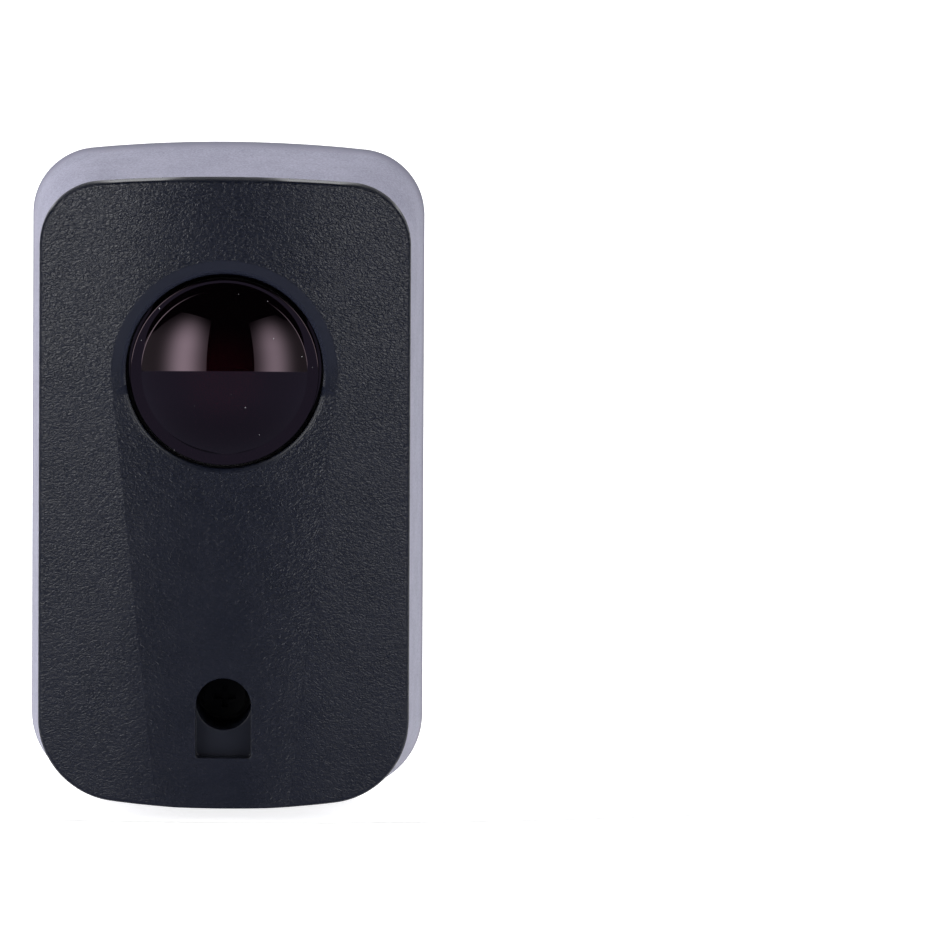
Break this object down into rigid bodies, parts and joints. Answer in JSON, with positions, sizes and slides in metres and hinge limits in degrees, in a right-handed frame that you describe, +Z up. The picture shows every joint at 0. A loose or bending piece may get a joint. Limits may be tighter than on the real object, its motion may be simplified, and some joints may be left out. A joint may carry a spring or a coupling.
{
  "type": "gate photocell",
  "caption": "Wall-mounted gate photocell: drafted grey housing, black grained cover with a sunken trough, domed dark lens and keyhole screw well, with receiver electronics inside.",
  "frame": {"origin": "middle of the flat back face, on the wall", "axes": "+Z up the wall, +Y into the wall, so the lens looks along -Y, +X to the right as seen from the front"},
  "size_m": [0.0638, 0.0317, 0.1082],
  "materials": {
    "grey_housing": "fine spark grain",
    "black_cover": "leather-like moulded grain",
    "filter_lens": "polished",
    "black_rubber": "matt",
    "black_inner": "matt",
    "black_screw": "black oxide",
    "board_laminate": "satin solder mask",
    "zinc_steel": "zinc plated",
    "plated_brass": "tin plated",
    "terminal_plastic": "satin",
    "relay_case": "satin",
    "can_sleeve": "shrunk sleeve",
    "chip_resin": "moulded resin",
    "jumper_plastic": "satin",
    "led_resin": "clear tinted",
    "ceramic_tan": "fired ceramic"
  },
  "bodies": {
    "root": {"rear_housing": "grey_housing", "front_cover": "black_cover", "cover_seal": "black_rubber", "lens": "filter_lens", "lens_seal": "black_rubber", "optic_barrel": "black_inner", "cover_screw": "black_screw", "cover_screw_seal": "black_rubber", "cable_grommet": "black_rubber", "circuit_board": "board_laminate", "board_screws": "zinc_steel", "photodiode": "filter_lens", "terminal_block": "terminal_plastic", "terminal_screws": "zinc_steel", "terminal_clamps": "plated_brass", "relay": "relay_case", "supply_capacitor": "can_sleeve", "filter_capacitor": "can_sleeve", "bridge_rectifier": "chip_resin", "voltage_regulator": "chip_resin", "controller_chip": "chip_resin", "jumper_base": "black_inner", "jumper_pins": "plated_brass", "jumper_cap": "jumper_plastic", "status_led": "led_resin", "chip_resistors": "chip_resin", "chip_capacitors": "ceramic_tan"}
  },
  "joints": []
}
